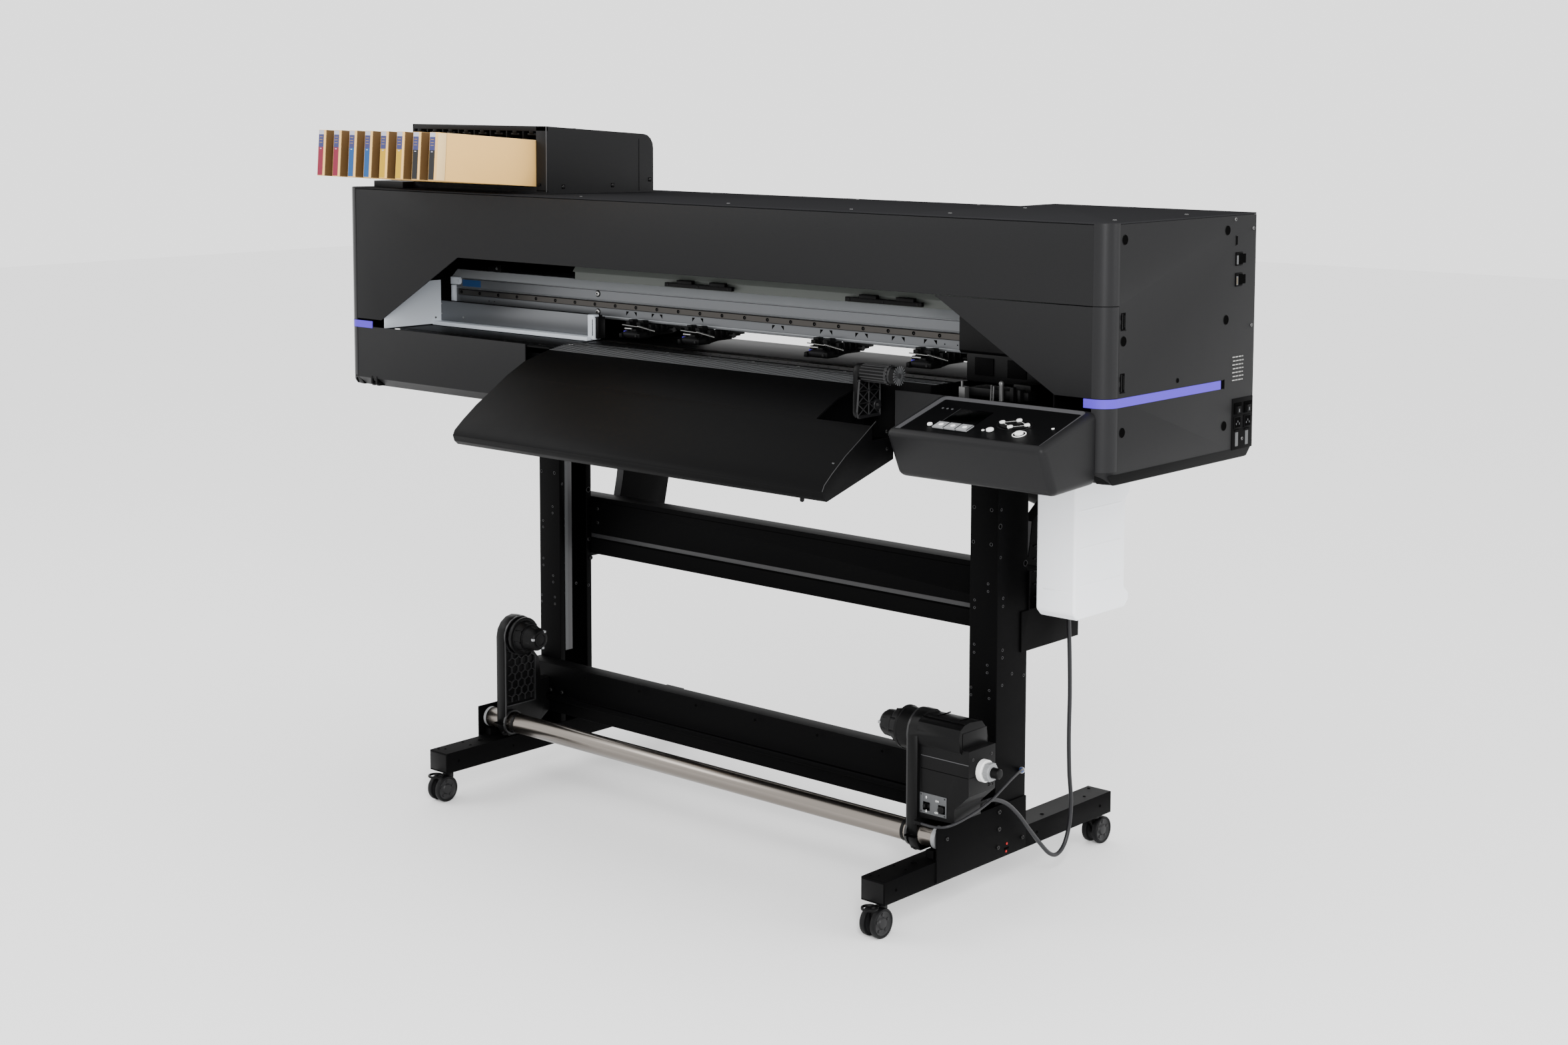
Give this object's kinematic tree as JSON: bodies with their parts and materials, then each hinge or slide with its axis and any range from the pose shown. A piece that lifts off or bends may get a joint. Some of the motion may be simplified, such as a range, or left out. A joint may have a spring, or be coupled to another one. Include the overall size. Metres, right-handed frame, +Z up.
{
  "type": "printer cutter",
  "caption": "Wide-format roll printer and cutter on a castor stand, with top-mounted ink cartridges, a tilted panel, a media take-up and supply roll arms.",
  "frame": {"origin": "on the floor, under the middle of the machine's bounding box", "axes": "+Z up, +X along the machine to the operator's right, -Y towards the operator"},
  "size_m": [1.965, 0.8446, 1.385],
  "materials": {
    "charcoal_cover": "fine-textured charcoal moulded covers",
    "black_steel": "black powder coat",
    "black_plastic": "black moulded plastic",
    "white_steel": "light grey enamel",
    "aluminium": "anodised extrusion",
    "stainless": "polished tube",
    "cartridge_case": "cream cartridge case",
    "tank_white": "white blown bottle",
    "key_white": "light keys",
    "castor_tread": "grey-black castor wheels",
    "cable_sheath": "dark grey cable sheath"
  },
  "bodies": {
    "machine": {"left_foot": "black_steel", "right_foot": "black_steel", "left_leg": "black_steel", "right_leg": "black_steel", "upper_beam": "black_steel", "lower_beam": "black_steel", "chassis": "white_steel", "left_side_cover": "charcoal_cover", "right_side_cover": "charcoal_cover", "left_lower_cover": "charcoal_cover", "right_lower_cover": "charcoal_cover", "top_cover": "charcoal_cover", "rear_cover": "charcoal_cover", "platen": "black_steel", "front_paper_guide": "black_plastic", "y_beam": "aluminium", "panel_housing": "charcoal_cover", "ink_box": "charcoal_cover", "takeup_tube": "stainless", "takeup_right_arm": "black_plastic", "motor_cable": "cable_sheath", "sensor_cable": "cable_sheath"},
    "front_left_castor": {"front_left_castor_yoke": "black_plastic"},
    "front_left_castor_wheels": {"front_left_castor_wheels": "castor_tread"},
    "rear_left_castor": {"rear_left_castor_yoke": "black_plastic"},
    "rear_left_castor_wheels": {"rear_left_castor_wheels": "castor_tread"},
    "front_right_castor": {"front_right_castor_yoke": "black_plastic"},
    "front_right_castor_wheels": {"front_right_castor_wheels": "castor_tread"},
    "rear_right_castor": {"rear_right_castor_yoke": "black_plastic"},
    "rear_right_castor_wheels": {"rear_right_castor_wheels": "castor_tread"},
    "front_cover": {"front_cover": "charcoal_cover"},
    "maintenance_cover": {"maintenance_cover": "charcoal_cover"},
    "carriage": {"carriage": "black_plastic"},
    "clamp_lever": {"clamp_lever": "black_plastic"},
    "pinch_bar": {"pinch_bar": "black_plastic"},
    "feed_roller": {"feed_roller": "stainless"},
    "select_key": {"select_key": "key_white"},
    "function_key_1": {"function_key_1": "key_white"},
    "function_key_2": {"function_key_2": "key_white"},
    "function_key_3": {"function_key_3": "key_white"},
    "power_key": {"power_key": "key_white"},
    "enter_key": {"enter_key": "key_white"},
    "jog_pad": {"jog_pad": "key_white"},
    "ink_cartridge_1": {"ink_cartridge_1": "cartridge_case"},
    "ink_cartridge_2": {"ink_cartridge_2": "cartridge_case"},
    "ink_cartridge_3": {"ink_cartridge_3": "cartridge_case"},
    "ink_cartridge_4": {"ink_cartridge_4": "cartridge_case"},
    "ink_cartridge_5": {"ink_cartridge_5": "cartridge_case"},
    "ink_cartridge_6": {"ink_cartridge_6": "cartridge_case"},
    "ink_cartridge_7": {"ink_cartridge_7": "cartridge_case"},
    "ink_cartridge_8": {"ink_cartridge_8": "cartridge_case"},
    "takeup_left_arm": {"takeup_left_arm": "black_plastic"},
    "takeup_left_flange": {"takeup_left_flange": "black_plastic"},
    "takeup_right_flange": {"takeup_right_flange": "black_plastic"},
    "torque_knob": {"torque_knob": "key_white"},
    "direction_switch": {"direction_switch": "black_plastic"},
    "start_switch": {"start_switch": "black_plastic"},
    "feed_left_arm": {"feed_left_arm": "black_plastic"},
    "feed_right_arm": {"feed_right_arm": "black_plastic"},
    "waste_tank": {"waste_tank": "tank_white"}
  },
  "joints": [
    {"name": "front_left_castor_swivel", "type": "hinge", "parent": "machine", "child": "front_left_castor", "pos_m": [-0.553, -0.26625, 0.062], "axis": [0, 0, 1], "continuous": true},
    {"name": "front_left_castor_roll", "type": "hinge", "parent": "front_left_castor", "child": "front_left_castor_wheels", "pos_m": [-0.553, -0.28425, 0.0265], "axis": [1, 0, 0], "continuous": true},
    {"name": "rear_left_castor_swivel", "type": "hinge", "parent": "machine", "child": "rear_left_castor", "pos_m": [-0.553, 0.37775, 0.062], "axis": [0, 0, 1], "continuous": true},
    {"name": "rear_left_castor_roll", "type": "hinge", "parent": "rear_left_castor", "child": "rear_left_castor_wheels", "pos_m": [-0.553, 0.39575, 0.0265], "axis": [1, 0, 0], "continuous": true},
    {"name": "front_right_castor_swivel", "type": "hinge", "parent": "machine", "child": "front_right_castor", "pos_m": [0.599, -0.26625, 0.062], "axis": [0, 0, 1], "continuous": true},
    {"name": "front_right_castor_roll", "type": "hinge", "parent": "front_right_castor", "child": "front_right_castor_wheels", "pos_m": [0.599, -0.28425, 0.0265], "axis": [1, 0, 0], "continuous": true},
    {"name": "rear_right_castor_swivel", "type": "hinge", "parent": "machine", "child": "rear_right_castor", "pos_m": [0.599, 0.37775, 0.062], "axis": [0, 0, 1], "continuous": true},
    {"name": "rear_right_castor_roll", "type": "hinge", "parent": "rear_right_castor", "child": "rear_right_castor_wheels", "pos_m": [0.599, 0.39575, 0.0265], "axis": [1, 0, 0], "continuous": true},
    {"name": "front_cover_hinge", "type": "hinge", "parent": "machine", "child": "front_cover", "pos_m": [0, -0.17075, 1.2414], "axis": [-1, 0, 0], "range_deg": [0, 90]},
    {"name": "maintenance_cover_hinge", "type": "hinge", "parent": "machine", "child": "maintenance_cover", "pos_m": [0.9835, -0.13975, 0.9607], "axis": [0, 0, 1], "range_deg": [0, 110]},
    {"name": "carriage_travel", "type": "slide", "parent": "machine", "child": "carriage", "axis": [1, 0, 0], "range_m": [-1.46, 0]},
    {"name": "clamp_lever_turn", "type": "hinge", "parent": "machine", "child": "clamp_lever", "pos_m": [0.469, -0.14625, 0.905], "axis": [1, 0, 0], "range_deg": [0, 38]},
    {"name": "pinch_bar_turn", "type": "hinge", "parent": "machine", "child": "pinch_bar", "pos_m": [0, 0.04275, 0.975], "axis": [1, 0, 0], "range_deg": [0, 8]},
    {"name": "feed_roller_spin", "type": "hinge", "parent": "machine", "child": "feed_roller", "pos_m": [0, -0.02225, 0.9386], "axis": [1, 0, 0], "continuous": true},
    {"name": "select_key_press", "type": "slide", "parent": "machine", "child": "select_key", "axis": [0, 0.2844, -0.9587], "range_m": [0, 0.0006], "stiffness_N_per_m": 300},
    {"name": "function_key_1_press", "type": "slide", "parent": "machine", "child": "function_key_1", "axis": [0, 0.2844, -0.9587], "range_m": [0, 0.0006], "stiffness_N_per_m": 300},
    {"name": "function_key_2_press", "type": "slide", "parent": "machine", "child": "function_key_2", "axis": [0, 0.2844, -0.9587], "range_m": [0, 0.0006], "stiffness_N_per_m": 300},
    {"name": "function_key_3_press", "type": "slide", "parent": "machine", "child": "function_key_3", "axis": [0, 0.2844, -0.9587], "range_m": [0, 0.0006], "stiffness_N_per_m": 300},
    {"name": "power_key_press", "type": "slide", "parent": "machine", "child": "power_key", "axis": [0, 0.2844, -0.9587], "range_m": [0, 0.0006], "stiffness_N_per_m": 300},
    {"name": "enter_key_press", "type": "slide", "parent": "machine", "child": "enter_key", "axis": [0, 0.2844, -0.9587], "range_m": [0, 0.0006], "stiffness_N_per_m": 300},
    {"name": "jog_pad_press", "type": "slide", "parent": "machine", "child": "jog_pad", "axis": [0, 0.2844, -0.9587], "range_m": [0, 0.0006], "stiffness_N_per_m": 300},
    {"name": "ink_cartridge_1_pull", "type": "slide", "parent": "machine", "child": "ink_cartridge_1", "axis": [0, -0.9972, 0.075], "range_m": [0, 0.12]},
    {"name": "ink_cartridge_2_pull", "type": "slide", "parent": "machine", "child": "ink_cartridge_2", "axis": [0, -0.9972, 0.075], "range_m": [0, 0.12]},
    {"name": "ink_cartridge_3_pull", "type": "slide", "parent": "machine", "child": "ink_cartridge_3", "axis": [0, -0.9972, 0.075], "range_m": [0, 0.12]},
    {"name": "ink_cartridge_4_pull", "type": "slide", "parent": "machine", "child": "ink_cartridge_4", "axis": [0, -0.9972, 0.075], "range_m": [0, 0.12]},
    {"name": "ink_cartridge_5_pull", "type": "slide", "parent": "machine", "child": "ink_cartridge_5", "axis": [0, -0.9972, 0.075], "range_m": [0, 0.12]},
    {"name": "ink_cartridge_6_pull", "type": "slide", "parent": "machine", "child": "ink_cartridge_6", "axis": [0, -0.9972, 0.075], "range_m": [0, 0.12]},
    {"name": "ink_cartridge_7_pull", "type": "slide", "parent": "machine", "child": "ink_cartridge_7", "axis": [0, -0.9972, 0.075], "range_m": [0, 0.12]},
    {"name": "ink_cartridge_8_pull", "type": "slide", "parent": "machine", "child": "ink_cartridge_8", "axis": [0, -0.9972, 0.075], "range_m": [0, 0.12]},
    {"name": "takeup_left_arm_slide", "type": "slide", "parent": "machine", "child": "takeup_left_arm", "axis": [1, 0, 0], "range_m": [0, 0.6]},
    {"name": "takeup_left_flange_spin", "type": "hinge", "parent": "takeup_left_arm", "child": "takeup_left_flange", "pos_m": [-0.5187, -0.10225, 0.32], "axis": [1, 0, 0], "continuous": true},
    {"name": "takeup_right_flange_spin", "type": "hinge", "parent": "machine", "child": "takeup_right_flange", "pos_m": [0.5547, -0.10225, 0.32], "axis": [1, 0, 0], "continuous": true},
    {"name": "torque_knob_turn", "type": "hinge", "parent": "machine", "child": "torque_knob", "pos_m": [0.6853, -0.09825, 0.271], "axis": [1, 0, 0], "range_deg": [-135, 135]},
    {"name": "direction_switch_tilt", "type": "hinge", "parent": "machine", "child": "direction_switch", "pos_m": [0.5925, -0.13225, 0.1955], "axis": [1, 0, 0], "range_deg": [-15, 15]},
    {"name": "start_switch_press", "type": "slide", "parent": "machine", "child": "start_switch", "axis": [0, 1, 0], "range_m": [0, 0.0006], "stiffness_N_per_m": 300},
    {"name": "feed_left_arm_slide", "type": "slide", "parent": "machine", "child": "feed_left_arm", "axis": [1, 0, 0], "range_m": [0, 0.45]},
    {"name": "feed_right_arm_slide", "type": "slide", "parent": "machine", "child": "feed_right_arm", "axis": [1, 0, 0], "range_m": [-0.45, 0]},
    {"name": "waste_tank_slide", "type": "slide", "parent": "machine", "child": "waste_tank", "axis": [1, 0, 0], "range_m": [0, 0.15]}
  ],
  "couplings": [
    {"joint": "pinch_bar_turn", "follows": "clamp_lever_turn", "ratio": 0.21}
  ]
}
